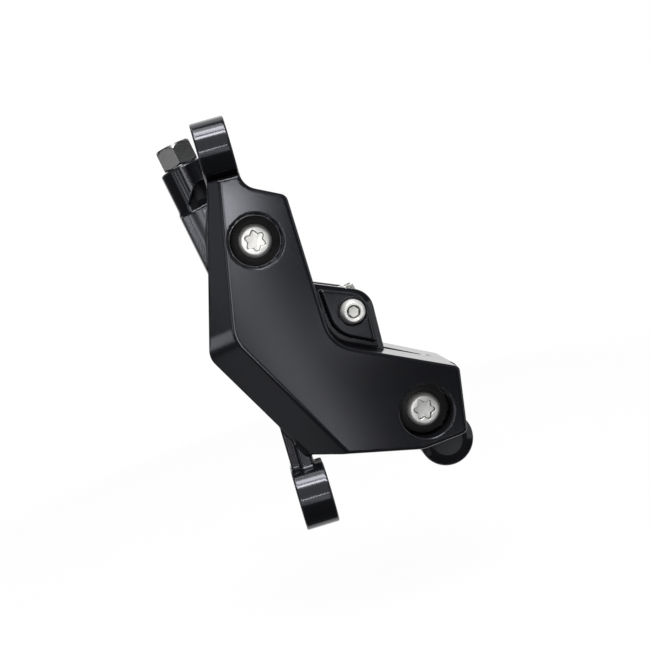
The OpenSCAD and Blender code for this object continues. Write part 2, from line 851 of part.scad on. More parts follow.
// The olive that the nut presses on the hose
module hose_olive() {
    r = nut_thread_d / 2 - 0.05;
    hole_r = (hose_d + hose_gap) / 2;
    color("#b08d45")
        at_inlet()
            translate([0, 0, -nut_thread_l - olive_l - touch])
                rotate_extrude()
                    polygon([[hole_r, 0], [hole_r + 0.4, 0], [r, olive_l / 3], [r, olive_l * 2 / 3],
                        [hole_r + 0.4, olive_l], [hole_r, olive_l]]);
}

// The bleed valve: a screw with a hexagon socket and a point
module bleed_valve() {
    head_h = 1.2;
    r = bleed_thread_d / 2;
    tip = bleed_head_y - bleed_thread_end_y;
    color("#8f9094")
        in_body()
            translate([bleed_x, bleed_head_y, bleed_z])
                rotate([0, 0, 180])
                    difference() {
                        turned([[0, -tip], [r - 0.8, -tip], [r, 0.8 - tip], [r, 0], [bleed_head_d / 2, 0],
                            [bleed_head_d / 2, head_h - 0.3], [bleed_head_d / 2 - 0.3, head_h], [0, head_h]]);
                        slab(-head_h - past, 1)
                            hexagon(bleed_socket);
                    }
}

module bleed_valve_seal() {
    color("#1d1d1e")
        in_body()
            translate([bleed_x, 0, bleed_z])
                ring_y(bleed_head_d / 2, bleed_thread_d / 2 + 0.05, bleed_head_y - bleed_seal_h + touch,
                    bleed_head_y - touch);
}

// The rubber cap: a cover over the boss, with a plug that fills the port's mouth
module bleed_port_cap() {
    cover_r = bleed_boss_d / 2 - 0.5;
    plug_top = bleed_end_y - 0.9;
    color("#1b1b1c")
        in_body()
            translate([bleed_x, 0, bleed_z]) {
                translate([0, bleed_end_y + touch, 0])
                    rotate([0, 0, 180])
                        turned([[0, 0], [cover_r, 0], [cover_r, cap_t - 0.5], [cover_r - 0.5, cap_t], [0, cap_t]]);
                rod_y(bleed_head_d / 2 + 0.05, plug_top, bleed_end_y + 0.5);
            }
}

outboard_housing();
inboard_housing();
upper_body_bolt();
lower_body_bolt();
outboard_leading_piston();
outboard_trailing_piston();
inboard_leading_piston();
inboard_trailing_piston();
outboard_leading_seal();
outboard_trailing_seal();
inboard_leading_seal();
inboard_trailing_seal();
outboard_pad_backing();
outboard_pad_lining();
inboard_pad_backing();
inboard_pad_lining();
pad_spring();
pad_pin();
pad_pin_clip();
crossover_seal();
gallery_plugs();
hose_nut();
hose_olive();
bleed_valve();
bleed_valve_seal();
bleed_port_cap();
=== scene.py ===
import math

import bmesh
import bpy
import numpy as np
from mathutils import Matrix, Vector


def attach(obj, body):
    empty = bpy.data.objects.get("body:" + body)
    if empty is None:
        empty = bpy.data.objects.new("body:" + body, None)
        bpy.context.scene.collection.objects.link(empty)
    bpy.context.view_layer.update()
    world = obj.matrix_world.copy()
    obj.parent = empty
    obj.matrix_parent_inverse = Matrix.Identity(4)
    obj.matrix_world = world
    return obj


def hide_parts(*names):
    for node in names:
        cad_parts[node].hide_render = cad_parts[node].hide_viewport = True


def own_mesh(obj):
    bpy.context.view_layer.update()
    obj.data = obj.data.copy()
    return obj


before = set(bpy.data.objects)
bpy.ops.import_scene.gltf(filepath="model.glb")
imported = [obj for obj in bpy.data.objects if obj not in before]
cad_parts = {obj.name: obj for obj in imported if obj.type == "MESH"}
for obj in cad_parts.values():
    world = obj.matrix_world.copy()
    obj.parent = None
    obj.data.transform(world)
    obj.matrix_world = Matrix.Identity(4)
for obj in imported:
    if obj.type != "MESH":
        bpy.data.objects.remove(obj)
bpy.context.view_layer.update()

MM = 0.001

# Sizes of the part, in millimetres, as in its CAD source. The body is tilted about the disc's axis.
TILT = math.radians(29)
CT, ST = math.cos(TILT), math.sin(TILT)
BODY_X, DISC_Y, BODY_Z = 18.35, 15.5, -4.7

# Body, whose faces are HALF_DEPTH from the disc's middle plane. Counterbores are cut from PAST_FACE outside.
HALF_DEPTH, PAST_FACE = 21.5, 4.0
BACK, CORNER, WAIST = 23.7, 11.0, 3.9
BEVEL_W, BEVEL_DEPTH = 6.4, 2.6
UPPER_BEVEL_FROM, UPPER_BEVEL_TO = (BEVEL_W - BACK + 0.8, 14.6), (2.8, 37.6)

# Body bolts
BOLT_Z, BOLT_SEAT = 24.8, 14.7
BOLT_L, BOLT_R, BOLT_HEAD = 26.0, 3.0, 4.0
COUNTERBORE_R, BOLT_HOLE_R = 5.6, 3.2
BOLT_THREAD_R, BOLT_THREAD_END = 3.02, 12.8
STAR_R = 2.25

# Mounting ears, and boxes in row coordinates: the lower ear's neck and its rib, and the upper ear's gusset
EAR_Z, EAR_R, EAR_T, EAR_DROP = 37.0, 6.2, 7.0, 0.6
SLOT_R, SLOT_HALF = 3.3, 2.0
NECK_X, NECK_Y, NECK_Z = (0.4, 5.2), (-1.2, 7.4), (-34.8, -16.8)
RIB_X, RIB_Y = (2.4, 5.2), (-3.2, 2)
GUSSET_X, GUSSET_Y, GUSSET_Z = (0, EAR_T), (-2, 6.2), (27.8, 35)

# Disc slot, pad pocket, pistons and the passages between them
DISC_OVER, DISC_SLOT_R, DISC_SLOT_W = 83.5, 81.5, 5.0
POCKET_Y, POCKET_Z = 5.7, 20.2
PISTON_X, PISTON_GAP = -11.2, 0.04
PISTONS = ((10.5, 7.5), (-10.5, 8.0))
BORE_FLOOR = 16.2
SEAL_DEPTH, SEAL_Y = 1.6, (6.9, 8.8)
PASSAGE_Y, PASSAGE_R, PASSAGE_ENDS = 11.3, 1.52, (-34, -20.9)
CROSS_X, CROSS_Z = 0.2, 32.2
CROSS_SEAL_R, CROSS_SEAL_DEPTH = 2.15, 0.85
CROSS_TURN, CROSS_L, CROSS_ENDS = math.radians(19), 9.7, (-3, 8)

# Pad pin
PIN_X, PIN_Z = 4.1, -0.3
BOSS_STEP, BOSS_END, PIN_SEAT = 11.0, 12.5, 11.5
PIN_R, PIN_NECK_R, PIN_SHOULDER_R = 1.8, 1.3, 2.05
PIN_HEAD, PIN_END, PIN_GROOVE, CLIP_T = 3.4, 14.6, 12.6, 0.7
PIN_HOLE_R, PIN_HEAD_HOLE_R, PIN_TIP_HOLE_R = 2.07, 2.95, 1.9
SOCKET_R = 1.05

# Hose inlet and nut. U runs across the inlet's axis and T along it, from its mouth outwards.
INLET = (-4.3, 26.8, 37.4)
INLET_TILT = math.radians(10)
IC, IS = math.cos(INLET_TILT), math.sin(INLET_TILT)
INLET_R, INLET_L = 5.3, 30
INLET_BORES = ((3.62, 8.5, 0.15), (2.6, 12.5, 0.05))
FLANK_U, FLANK_T, FLANK_FACE = -3.7, -10.1, (-0.74, 0.673)
FLANK_ENDS, FLANK_DEPTH, FLANK_SLOPE = (-10.6, -4.9), 4.8, 0.2
WEB_FRONT, WEB_BACK, WEB_STEP = 2.4, 3.8, 3.0
WEB_STEP_T, WEB_STEP_RUN = -10, 0.7
NUT_AF, NUT_H, NUT_THREAD_L, NUT_THREAD_R, HOSE_R = 8.0, 5.2, 5.0, 3.6, 2.6
NUT_SEAT, NUT_LOW, NUT_TOP = 0.32, 0.4, 1.0

# Bleed port
BLEED_X, BLEED_Z, BLEED_R, BLEED_END = -0.9, -37.5, 6.15, 17.5
BLEED_FRONT, BLEED_BEVEL = 0.5, 2.0
BLEED_WEB_Y = (2.5, 15)
BLEED_BORES = ((3.42, 14.4, 0.1), (2.52, 9.8, 0.05))

# Boxes in body coordinates round the two halves, and the steps between points from which their slope, their
# normals and the bend of their edges are measured
OUTBOARD_BOX = ((-36, -26, -39.5), (13, 1, 54))
INBOARD_BOX = ((-26, -1, -45), (15, 23, 55))
SLOPE_STEP, NORMAL_STEP, BEND_STEP = 0.05, 0.06, 0.35


# Row coordinates have the ears' seats at x = 0. In body coordinates x runs away from the disc's centre,
# z runs along the line through the body bolts, and y is 0 in the disc's middle plane.
def to_body(x, z):
    return (x - BODY_X) * CT + (z - BODY_Z) * ST, -(x - BODY_X) * ST + (z - BODY_Z) * CT


def turned_to_row(n):
    """Directions in row coordinates."""
    x, y, z = n[..., 0], n[..., 1], n[..., 2]
    return np.stack([x * CT - z * ST, y, x * ST + z * CT], -1)


def to_row(p):
    """Points in row coordinates."""
    return turned_to_row(p) + np.array([BODY_X, DISC_Y, BODY_Z])


def outline(corners, steps=8):
    """Points of an outline whose corners are (x, z, radius)."""
    pts = []
    for i, (x, z, r) in enumerate(corners):
        p1 = np.array([x, z])
        if r <= 0:
            pts.append(p1)
            continue
        u = np.array(corners[i - 1][:2]) - p1
        w = np.array(corners[(i + 1) % len(corners)][:2]) - p1
        u, w = u / np.linalg.norm(u), w / np.linalg.norm(w)
        half = math.acos(float(u @ w)) / 2
        mid = (u + w) / np.linalg.norm(u + w)
        centre = p1 + mid * r / math.sin(half)
        s = p1 + u * r / math.tan(half) - centre
        e = p1 + w * r / math.tan(half) - centre
        start = math.atan2(s[1], s[0])
        turn = math.atan2(s[0] * e[1] - s[1] * e[0], float(s @ e))
        for k in range(steps + 1):
            a = start + turn * k / steps
            pts.append(centre + r * np.array([math.cos(a), math.sin(a)]))
    return np.array(pts)


def inlet_side(t):
    """The point on the inlet's outer side, t below its mouth."""
    return INLET[0] - INLET_R * IC + t * IS, INLET[2] - INLET_R * IS - t * IC


EAR_LEFT, EAR_RIGHT = to_body(0.2, EAR_Z - EAR_R), to_body(EAR_T, EAR_Z - EAR_R - 0.1)
WAIST_CORNER, UPPER_CORNER = (-WAIST, -1.2, 7), (CORNER, BOLT_Z + 2.1, 1.8)
BACK_HIGH, BACK_LOW = (-BACK, 14.5, 4), (-BACK, -14, 1.5)
OUTBOARD = outline([
    WAIST_CORNER, UPPER_CORNER, (CORNER - 5, BOLT_Z + 9.6, 4), (*EAR_RIGHT, 0), (*EAR_LEFT, 0),
    BACK_HIGH, BACK_LOW, (-6, -(BOLT_Z + 5.2), 6), (CORNER - 8, -(BOLT_Z + 9.3), 1.5),
    (CORNER + 0.4, -(BOLT_Z - 1.7), 1.2)])
INBOARD = outline([
    WAIST_CORNER, UPPER_CORNER, (CORNER - 5, BOLT_Z + 9.6, 1.5), (-0.5, BOLT_Z + 12.9, 1),
    BACK_HIGH, BACK_LOW, (-8, -(BOLT_Z + 5), 4), (5, -(BOLT_Z + 11), 3), (CORNER + 2, -(BOLT_Z + 2.2), 2.5)])
PIN_BOSS = outline([
    (-WAIST - 1, 10, 0), (2, 10, 0), (PIN_X + 5.7, -0.1, 4.8), (3.4, -10.9, 0), (-WAIST - 1, -10.9, 0)])
ISLAND = outline([(2.4, 7.9, 0.4), (PIN_X + 4.3, 0.5, 4), (3.1, -8.4, 0.4), (-1.8, -1.1, 6)])
BLEED_WEB = outline([
    (-8, -(BOLT_Z + 5), 0), (5, -(BOLT_Z + 11), 0), (BLEED_X + 4.8, BLEED_Z, 0), (BLEED_X - 4.8, BLEED_Z, 0)])
# This one is in row coordinates
INLET_WEB = outline([
    (INLET[0] + 3, INLET[2] - 4.4, 0), (INLET[0] + 6, INLET[2] - 7, 0), (4, 24, 0), (4, 16, 0),
    (*inlet_side(24), 0), (*inlet_side(10.2), 0)])


# Distances: negative inside, in millimetres. They work on broadcast grids and on lists of points.
def in_outline(x, z, pts):
    x, z = np.broadcast_arrays(x, z)
    d = np.full(x.shape, 1e9)
    inside = np.zeros(x.shape, bool)
    for a, b in zip(pts, np.roll(pts, -1, 0)):
        ex, ez = b - a
        wx, wz = x - a[0], z - a[1]
        t = np.clip((wx * ex + wz * ez) / (ex * ex + ez * ez), 0, 1)
        d = np.minimum(d, (wx - ex * t) ** 2 + (wz - ez * t) ** 2)
        if ez != 0:
            inside ^= ((a[1] <= z) != (b[1] <= z)) & (x < a[0] + ex * (z - a[1]) / ez)
    return np.where(inside, -1, 1) * np.sqrt(d)


def both(a, b, r):
    """What is inside a and b, with its edge rounded to r."""
    return np.minimum(-r, np.maximum(a, b)) + np.hypot(np.maximum(a + r, 0), np.maximum(b + r, 0))


def either(a, b, r):
    """What is inside a or b, with a fillet of r between them."""
    return np.maximum(r, np.minimum(a, b)) - np.hypot(np.maximum(r - a, 0), np.maximum(r - b, 0))


def less(a, b, r):
    """What is inside a and outside b, with its edge rounded to r."""
    return both(a, -b, r)


def blended(a, b, k):
    """What is inside a and b, with a soft edge where the two lie within k of each other."""
    h = np.maximum(k - np.abs(a - b), 0) / k
    return np.maximum(a, b) + h * h * k / 4


def between(v, low, high):
    return np.maximum(low - v, v - high)


def chamfered(a, b, c):
    """What is inside a and b, with its edge cut off at 45 degrees, c wide."""
    return np.maximum(np.maximum(a, b), (a + b + c) * math.sqrt(0.5))


def rod(x, y, z, cx, cz, r, y0, y1):
    """A round rod along the disc's axis."""
    return np.maximum(np.hypot(x - cx, z - cz) - r, between(y, y0, y1))


def bevels(x, y, z, side):
    """The two slanted faces of a half: along its back, and from the back up to the ear."""
    slant = math.hypot(BEVEL_W, BEVEL_DEPTH)
    s, c = BEVEL_DEPTH / slant, BEVEL_W / slant
    out = side * y - HALF_DEPTH
    back = c * out - s * (x - (BEVEL_W - BACK))
    (x0, z0), (x1, z1) = UPPER_BEVEL_FROM, UPPER_BEVEL_TO
    away = (-(x - x0) * (z1 - z0) + (z - z0) * (x1 - x0)) / math.hypot(x1 - x0, z1 - z0)
    return blended(back, c * out + s * away, 0.7)


def shared_cuts(d, x, y, z, side):
    """Cuts the disc's slot, the pad pocket, the piston bores with their seal grooves, and the passage."""
    slot = np.maximum(np.hypot(x + DISC_OVER, z) - DISC_SLOT_R, np.abs(y) - DISC_SLOT_W / 2)
    d = less(d, slot, 0.3)
    d = less(d, np.maximum(np.abs(y) - POCKET_Y, np.abs(z) - POCKET_Z), 0.35)
    ys = side * y
    for cz, r in PISTONS:
        d = less(d, rod(x, ys, z, PISTON_X, cz, r + PISTON_GAP, POCKET_Y - 1, BORE_FLOOR), 0.2)
        d = less(d, rod(x, ys, z, PISTON_X, cz, r + SEAL_DEPTH, *SEAL_Y), 0.05)
    passage = np.maximum(np.hypot(x - PISTON_X, ys - PASSAGE_Y) - PASSAGE_R, between(z, *PASSAGE_ENDS))
    return less(d, passage, 0.15)


def pin_boss(d, x, y, z, side):
    """The stepped boss that holds the pad pin, with a raised island on it."""
    ys = side * y
    base = chamfered(in_outline(x, z, PIN_BOSS), ys - BOSS_STEP, 1.2)
    base = both(base, POCKET_Y - ys, 0.3)
    island = both(in_outline(x, z, ISLAND), ys - BOSS_END, 0.5)
    island = np.maximum(island, POCKET_Y - ys)
    d = either(d, base, 0.5)
    return either(d, island, 0.25)


def with_ears(d, xr, yr, zr):
    """Adds the two mounting ears, each with its slot, to the outboard half."""
    neck = both(between(xr, *NECK_X), between(yr, *NECK_Y), 0.5)
    rib = both(between(xr, *RIB_X), between(yr, *RIB_Y), 0.5)
    neck = both(either(neck, rib, 0.5), between(zr, *NECK_Z), 0.3)
    d = either(d, neck, 0.5)
    across = np.maximum(np.abs(yr) - SLOT_HALF, 0)
    for cz, drop in ((EAR_Z, 0), (-EAR_Z, EAR_DROP)):
        round_end = np.hypot(across, zr - cz + drop / 2) - EAR_R - drop / 2
        d = either(d, both(round_end, between(xr, 0, EAR_T), 0.35), 0.45)
        if cz > 0:
            gusset = both(between(xr, *GUSSET_X), between(yr, *GUSSET_Y), 0.4)
            d = either(d, both(gusset, between(zr, *GUSSET_Z), 0.4), 0.4)
        slot = np.maximum(np.hypot(across, zr - cz) - SLOT_R, between(xr, -1, EAR_T + 1))
        d = less(d, slot, 0.35)
    return d


def outboard_half(x, y, z):
    xr, zr = BODY_X + x * CT - z * ST, BODY_Z + x * ST + z * CT
    d = both(in_outline(x, z, OUTBOARD), -y - HALF_DEPTH, 0.7)
    d = blended(d, bevels(x, y, z, -1), 0.16)
    d = pin_boss(d, x, y, z, -1)
    d = with_ears(d, xr, y + DISC_Y, zr)
    d = shared_cuts(d, x, y, z, -1)
    for cz in (BOLT_Z, -BOLT_Z):
        d = less(d, rod(x, y, z, 0, cz, COUNTERBORE_R, -HALF_DEPTH - PAST_FACE, -BOLT_SEAT), 0.3)
        d = less(d, rod(x, y, z, 0, cz, BOLT_HOLE_R, -HALF_DEPTH - PAST_FACE, 2), 0.1)
    d = less(d, rod(x, y, z, CROSS_X, CROSS_Z, CROSS_SEAL_R, -CROSS_SEAL_DEPTH, 2), 0.05)
    d = less(d, rod(x, y, z, PIN_X, PIN_Z, PIN_HOLE_R, -HALF_DEPTH, 1 - POCKET_Y), 0.1)
    d = less(d, rod(x, y, z, PIN_X, PIN_Z, PIN_HEAD_HOLE_R, -HALF_DEPTH, -PIN_SEAT), 0.15)
    return both(d, y + 0.01, 0.15)


def with_bleed_port(d, x, y, z):
    """Adds the bleed port's boss, bevelled at its front, and the web that carries it."""
    from_axis = np.hypot(x - BLEED_X, z - BLEED_Z)
    boss = both(from_axis - BLEED_R, between(y, BLEED_FRONT, BLEED_END), 0.5)
    boss = both(boss, (from_axis - BLEED_R + BLEED_BEVEL - 2 * (y - BLEED_FRONT)) / math.sqrt(5), 0.25)
    web = np.maximum(in_outline(x, z, BLEED_WEB), between(y, *BLEED_WEB_Y))
    return either(d, either(boss, web, 0.8), 0.8)


def with_inlet(d, xr, yr, zr, u, t, from_axis):
    """Adds the hose inlet's boss, whose flank is cut away beside the body, and the web under it."""
    boss = np.maximum(chamfered(from_axis - INLET_R, t, 0.35), -INLET_L - t)
    slanted = (t - FLANK_T) * FLANK_FACE[1] + (u - FLANK_U) * FLANK_FACE[0]
    floor_of_cut = yr - INLET[1] + FLANK_DEPTH - FLANK_SLOPE * (u - FLANK_U)
    boss = less(boss, np.maximum(np.maximum(slanted, between(t, *FLANK_ENDS)), floor_of_cut), 0.25)
    front = INLET[1] - WEB_FRONT - WEB_STEP * np.clip((WEB_STEP_T - t) / WEB_STEP_RUN, 0, 1)
    web = both(in_outline(xr, zr, INLET_WEB), between(yr, front, INLET[1] + WEB_BACK), 0.5)
    return either(d, either(boss, web, 1.2), 1.0)


def inboard_half(x, y, z):
    xr, zr = BODY_X + x * CT - z * ST, BODY_Z + x * ST + z * CT
    yr = y + DISC_Y
    d = both(in_outline(x, z, INBOARD), y - HALF_DEPTH, 0.7)
    d = blended(d, bevels(x, y, z, 1), 0.16)
    d = pin_boss(d, x, y, z, 1)
    d = with_bleed_port(d, x, y, z)
    t = -(xr - INLET[0]) * IS + (zr - INLET[2]) * IC
    u = (xr - INLET[0]) * IC + (zr - INLET[2]) * IS
    from_axis = np.hypot(u, yr - INLET[1])
    d = with_inlet(d, xr, yr, zr, u, t, from_axis)
    d = shared_cuts(d, x, y, z, 1)
    for cz in (BOLT_Z, -BOLT_Z):
        d = less(d, rod(x, y, z, 0, cz, BOLT_THREAD_R, -1, BOLT_THREAD_END), 0.1)
    c, s = math.cos(CROSS_TURN), math.sin(CROSS_TURN)
    px, pz = CROSS_X + CROSS_L * c, CROSS_Z - CROSS_L * s
    along = (x - px) * c - (z - pz) * s
    off = np.hypot((x - px) * s + (z - pz) * c, y - PASSAGE_Y)
    d = less(d, np.maximum(off - PASSAGE_R, between(along, *CROSS_ENDS)), 0.15)
    d = less(d, rod(x, y, z, PIN_X, PIN_Z, PIN_TIP_HOLE_R, POCKET_Y - 1, HALF_DEPTH), 0.1)
    d = less(d, rod(x, y, z, BLEED_X, BLEED_Z, BLEED_R + 0.3, BLEED_END, HALF_DEPTH + 2), 0.2)
    for r, floor_y, edge in BLEED_BORES:
        d = less(d, rod(x, y, z, BLEED_X, BLEED_Z, r, floor_y, HALF_DEPTH), edge)
    for r, depth, edge in INLET_BORES:
        d = less(d, np.maximum(from_axis - r, between(t, -depth, 2)), edge)
    return both(d, 0.01 - y, 0.15)


def neighbours(axis, part):
    """Two parts of a grid that are one step apart along an axis."""
    near, far = [part] * 3, [part] * 3
    near[axis], far[axis] = slice(0, -1), slice(1, None)
    return tuple(near), tuple(far)


def slope(shape, v, h):
    """A shape's unit gradient, its value and its bend at points, from steps of h."""
    value = shape(*v.T)
    g = np.zeros_like(v)
    bend = -6 * value
    for k in range(3):
        step = np.zeros(3)
        step[k] = h
        a, b = shape(*(v + step).T), shape(*(v - step).T)
        g[:, k] = a - b
        bend += a + b
    return g / np.maximum(np.linalg.norm(g, axis=1), 1e-9)[:, None], value, bend / h


def net_points(f, inside, low, cell):
    """One point in each cell that the surface passes, midway between its crossings of the cell's edges."""
    n = np.array(f.shape)
    total = np.zeros((*(n - 1), 3), np.float32)
    count = np.zeros(n - 1, np.float32)
    for axis in range(3):
        near, far = neighbours(axis, slice(None))
        cross = inside[near] != inside[far]
        t = np.where(cross, f[near] / np.where(cross, f[near] - f[far], 1), 0).astype(np.float32)
        p, q = [k for k in range(3) if k != axis]
        for i in (0, 1):
            for j in (0, 1):
                edges = [slice(None)] * 3
                edges[p], edges[q] = slice(i, n[p] - 1 + i), slice(j, n[q] - 1 + j)
                hit = cross[tuple(edges)]
                count += hit
                total[..., axis] += t[tuple(edges)]
                total[..., p] += i * hit
                total[..., q] += j * hit
    cells = np.argwhere(count > 0)
    at = tuple(cells.T)
    number = np.full(n - 1, -1)
    number[at] = np.arange(len(cells))
    return (cells + total[at] / count[at][:, None]) * cell + low, number


def net_faces(inside, number):
    """A face for each edge of the grid that the surface crosses, between the points of the cells round it."""
    quads = []
    for axis in range(3):
        near, far = neighbours(axis, slice(1, -1))
        p, q = (axis + 1) % 3, (axis + 2) % 3
        for flip in (False, True):
            at = np.argwhere(inside[far] & ~inside[near] if flip else inside[near] & ~inside[far])
            at[:, [p, q]] += 1
            corners = []
            for i, j in ((-1, -1), (0, -1), (0, 0), (-1, 0)):
                c = at.copy()
                c[:, p] += i
                c[:, q] += j
                corners.append(number[tuple(c.T)])
            face = np.stack(corners, 1)
            quads.append(face[:, ::-1] if flip else face)
    return np.concatenate(quads)


def surface(shape, low, high, cell):
    """Points, four-sided faces, normals and bends of a shape's surface, from a net over a grid of cells."""
    axes = [np.arange(a, b + cell, cell) for a, b in zip(low, high)]
    f = shape(axes[0][:, None, None], axes[1][None, :, None], axes[2][None, None, :])
    v, number = net_points(f, f < 0, np.array([a[0] for a in axes]), cell)
    faces = net_faces(f < 0, number)
    for _ in range(3):
        g, value, _ = slope(shape, v, SLOPE_STEP)
        v = v - np.clip(value, -0.5 * cell, 0.5 * cell)[:, None] * g
    normal, _, _ = slope(shape, v, NORMAL_STEP)
    _, _, bend = slope(shape, v, BEND_STEP)
    return v, faces, normal, bend


def add_piece(name, mesh, node):
    """An object for a mesh that rides on the housing in a solid's place."""
    piece = bpy.data.objects.new(name, mesh)
    bpy.context.scene.collection.objects.link(piece)
    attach(piece, "housing")
    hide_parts(node)
    return piece


def make_half(name, shape, node, material, box, cell):
    """A half of the housing, whose attribute edge is 1 on sharp outer edges and -1 in sharp creases."""
    v, faces, normal, bend = surface(shape, *box, cell)
    mesh = bpy.data.meshes.new(name)
    mesh.from_pydata((to_row(v) * MM).tolist(), [], faces.tolist())
    mesh.polygons.foreach_set("use_smooth", [True] * len(mesh.polygons))
    mesh.normals_split_custom_set_from_vertices(turned_to_row(normal).tolist())
    edge = mesh.attributes.new("edge", "FLOAT", "POINT")
    edge.data.foreach_set("value", np.clip(bend, -1, 1).astype(np.float32))
    mesh.materials.append(material)
    return add_piece(name, mesh, node)


# Materials
def new_material(name):
    m = bpy.data.materials.new(name)
    m.use_nodes = True
    nodes, links = m.node_tree.nodes, m.node_tree.links
    return m, nodes, links, nodes["Principled BSDF"]


def noise(nodes, links, scale, detail=4.0, rough=0.55):
    coord = nodes.new("ShaderNodeTexCoord")
    texture = nodes.new("ShaderNodeTexNoise")
    texture.inputs["Scale"].default_value = scale
    texture.inputs["Detail"].default_value = detail
    texture.inputs["Roughness"].default_value = rough
    links.new(coord.outputs["Object"], texture.inputs["Vector"])
    return texture.outputs["Fac"]


def vary(nodes, links, value, low, high, target):
    """Lets an input run from one colour or grey level to another as a noise goes from weak to strong."""
    ramp = nodes.new("ShaderNodeValToRGB")
    for stop, at, level in zip(ramp.color_ramp.elements, (0.3, 0.7), (low, high)):
        stop.position = at
        stop.color = (*np.broadcast_to(level, 3).tolist(), 1)
    links.new(value, ramp.inputs["Fac"])
    links.new(ramp.outputs["Color"], target)


def bump(nodes, links, bsdf, height, strength, distance):
    b = nodes.new("ShaderNodeBump")
    b.inputs["Strength"].default_value = strength
    b.inputs["Distance"].default_value = distance
    links.new(height, b.inputs["Height"])
    links.new(b.outputs["Normal"], bsdf.inputs["Normal"])


def surface_material(name, dark, light, spots, metallic, rough, grain, grain_scale, specular):
    """A material whose colour and roughness vary between two values, over a fine grain."""
    m, nodes, links, bsdf = new_material(name)
    broad = noise(nodes, links, spots)
    vary(nodes, links, broad, dark, light, bsdf.inputs["Base Color"])
    vary(nodes, links, broad, *rough, bsdf.inputs["Roughness"])
    bsdf.inputs["Metallic"].default_value = metallic
    bsdf.inputs["Specular IOR Level"].default_value = specular
    bump(nodes, links, bsdf, noise(nodes, links, grain_scale, 3, 0.6), grain, 0.00004)
    return m


def anodised(name, dark, light):
    """Black anodised metal with a faint wear along its edges, and smooth enough to mirror the lamps."""
    m, nodes, links, bsdf = new_material(name)
    edge = nodes.new("ShaderNodeAttribute")
    edge.attribute_name = "edge"
    worn = nodes.new("ShaderNodeMapRange")
    worn.inputs["From Min"].default_value = 0.35
    worn.inputs["From Max"].default_value = 1.0
    worn.inputs["To Max"].default_value = 0.12
    links.new(edge.outputs["Fac"], worn.inputs["Value"])
    mix = nodes.new("ShaderNodeMix")
    mix.data_type = "RGBA"
    mix.inputs["B"].default_value = (0.16, 0.165, 0.18, 1)
    links.new(worn.outputs["Result"], mix.inputs["Factor"])
    vary(nodes, links, noise(nodes, links, 90), dark, light, mix.inputs["A"])
    links.new(mix.outputs["Result"], bsdf.inputs["Base Color"])
    vary(nodes, links, noise(nodes, links, 70), 0.13, 0.15, bsdf.inputs["Roughness"])
    bsdf.inputs["Metallic"].default_value = 0.0
    bsdf.inputs["Specular IOR Level"].default_value = 0.45
    bsdf.inputs["Specular Tint"].default_value = (0.9, 0.915, 1, 1)
    bump(nodes, links, bsdf, noise(nodes, links, 9000, 2, 0.6), 0.03, 0.00002)
    return m


black_out = anodised("black_anodised_outboard", (0.0042, 0.0043, 0.0055), (0.0062, 0.0064, 0.008))
black_in = anodised("black_anodised_inboard", (0.0042, 0.0043, 0.0055), (0.006, 0.0062, 0.0077))

# Dark and light colour, scale of the spots, metallic level, range of the roughness, depth and scale of the
# grain, and specular level
MATERIALS = {
    "bright_steel": ((0.72, 0.71, 0.68), (0.82, 0.81, 0.78), 300, 0.9, (0.24, 0.34), 0.2, 6000, 0.5),
    "satin_steel": ((0.9, 0.89, 0.86), (0.97, 0.96, 0.93), 300, 0.5, (0.3, 0.38), 0.2, 7000, 0.5),
    "black_steel": ((0.028, 0.028, 0.028), (0.036, 0.036, 0.036), 300, 0.0, (0.4, 0.5), 0.3, 6000, 0.3),
    # Painted shade: a dark material laid on the walls of sockets and recesses, where shade falls
    "painted_shade_socket_walls": ((0.05, 0.05, 0.047), (0.075, 0.075, 0.07), 300, 0.3, (0.4, 0.5), 0.3, 6000, 0.5),
    "plated_backing": ((0.3, 0.25, 0.17), (0.42, 0.35, 0.24), 200, 1.0, (0.35, 0.5), 0.3, 4000, 0.5),
    "sintered_lining": ((0.05, 0.042, 0.034), (0.19, 0.15, 0.11), 2500, 0.35, (0.55, 0.8), 1.0, 3500, 0.5),
    "phenolic": ((0.045, 0.035, 0.028), (0.075, 0.06, 0.05), 900, 0.0, (0.35, 0.5), 0.4, 3000, 0.5),
    "rubber": ((0.012, 0.012, 0.013), (0.022, 0.022, 0.023), 500, 0.0, (0.5, 0.65), 0.5, 3500, 0.5),
    "dull_steel": ((0.3, 0.3, 0.31), (0.4, 0.4, 0.41), 400, 1.0, (0.32, 0.45), 0.3, 5000, 0.5),
    "grey_nut": ((0.2, 0.2, 0.2), (0.25, 0.25, 0.25), 300, 1.0, (0.2, 0.26), 0.15, 7000, 0.5),
    "brass": ((0.5, 0.36, 0.13), (0.6, 0.45, 0.19), 300, 1.0, (0.25, 0.35), 0.2, 5000, 0.5),
}
metal = {name: surface_material(name, *values) for name, values in MATERIALS.items()}

# The solids' materials, by node or else by the ending of its name
LOOKS = {
    "pad_spring": "bright_steel", "pad_pin_clip": "dull_steel", "gallery_plugs": "dull_steel",
    "bleed_valve": "dull_steel", "hose_olive": "brass", "bleed_port_cap": "rubber",
    "upper_body_bolt": "satin_steel", "lower_body_bolt": "satin_steel", "pad_pin": "bright_steel",
    "hose_nut": "grey_nut"}
ENDINGS = {
    "_piston": "phenolic", "_seal": "rubber", "_backing": "plated_backing", "_lining": "sintered_lining"}
for node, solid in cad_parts.items():
    by_ending = [look for ending, look in ENDINGS.items() if node.endswith(ending)]
    looks = [LOOKS[node]] if node in LOOKS else by_ending
    if looks:
        solid.data.materials.clear()
        solid.data.materials.append(metal[looks[0]])

cell = 0.32
make_half("outboard_shell", outboard_half, "outboard_housing", black_out,
          OUTBOARD_BOX, cell)
make_half("inboard_shell", inboard_half, "inboard_housing", black_in,
          INBOARD_BOX, cell)


# Turned and socketed pieces: rings of points round an axis, each a height and a radius, or one for each angle
STEPS = 144
ANGLES = np.arange(STEPS) * 2 * math.pi / STEPS


